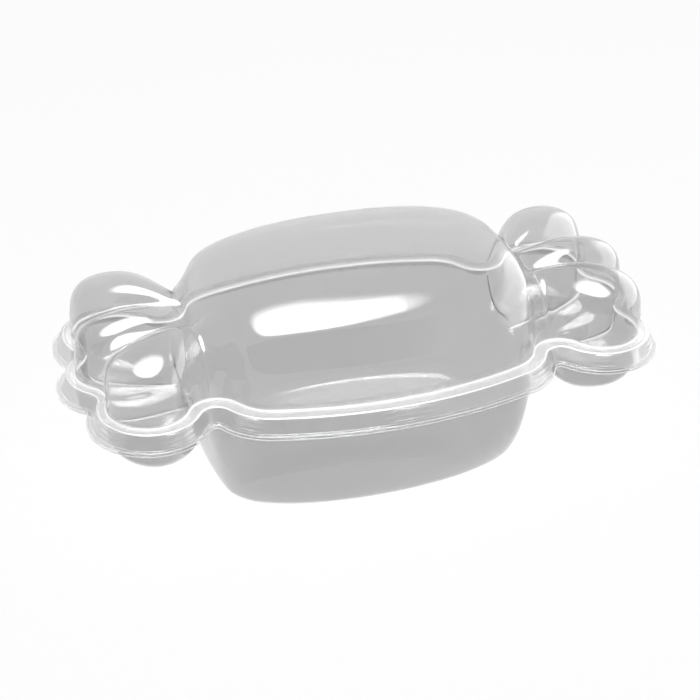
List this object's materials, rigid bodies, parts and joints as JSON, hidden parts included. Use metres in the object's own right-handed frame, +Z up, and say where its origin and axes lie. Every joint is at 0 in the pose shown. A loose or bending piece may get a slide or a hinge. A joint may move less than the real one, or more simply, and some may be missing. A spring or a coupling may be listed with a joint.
{
  "type": "clear plastic cake box",
  "caption": "Candy-shaped clear plastic box: a flat-bottomed tray and a lift-off domed lid, each formed from one sheet, for a small cake or pastry.",
  "frame": {"origin": "middle of the tray's flat floor, on its underside", "axes": "+X along the box's length, +Y across it, +Z up; the box is the same on both sides of the X and the Y axis"},
  "size_m": [0.2558, 0.1324, 0.097],
  "materials": {
    "clear_sheet": "clear glossy formed sheet"
  },
  "bodies": {
    "tray": {"tray": "clear_sheet"},
    "lid": {"lid": "clear_sheet"}
  },
  "joints": [
    {"name": "lid_lift", "type": "slide", "parent": "tray", "child": "lid", "axis": [0, 0, 1], "range_m": [0, 0.12]}
  ]
}
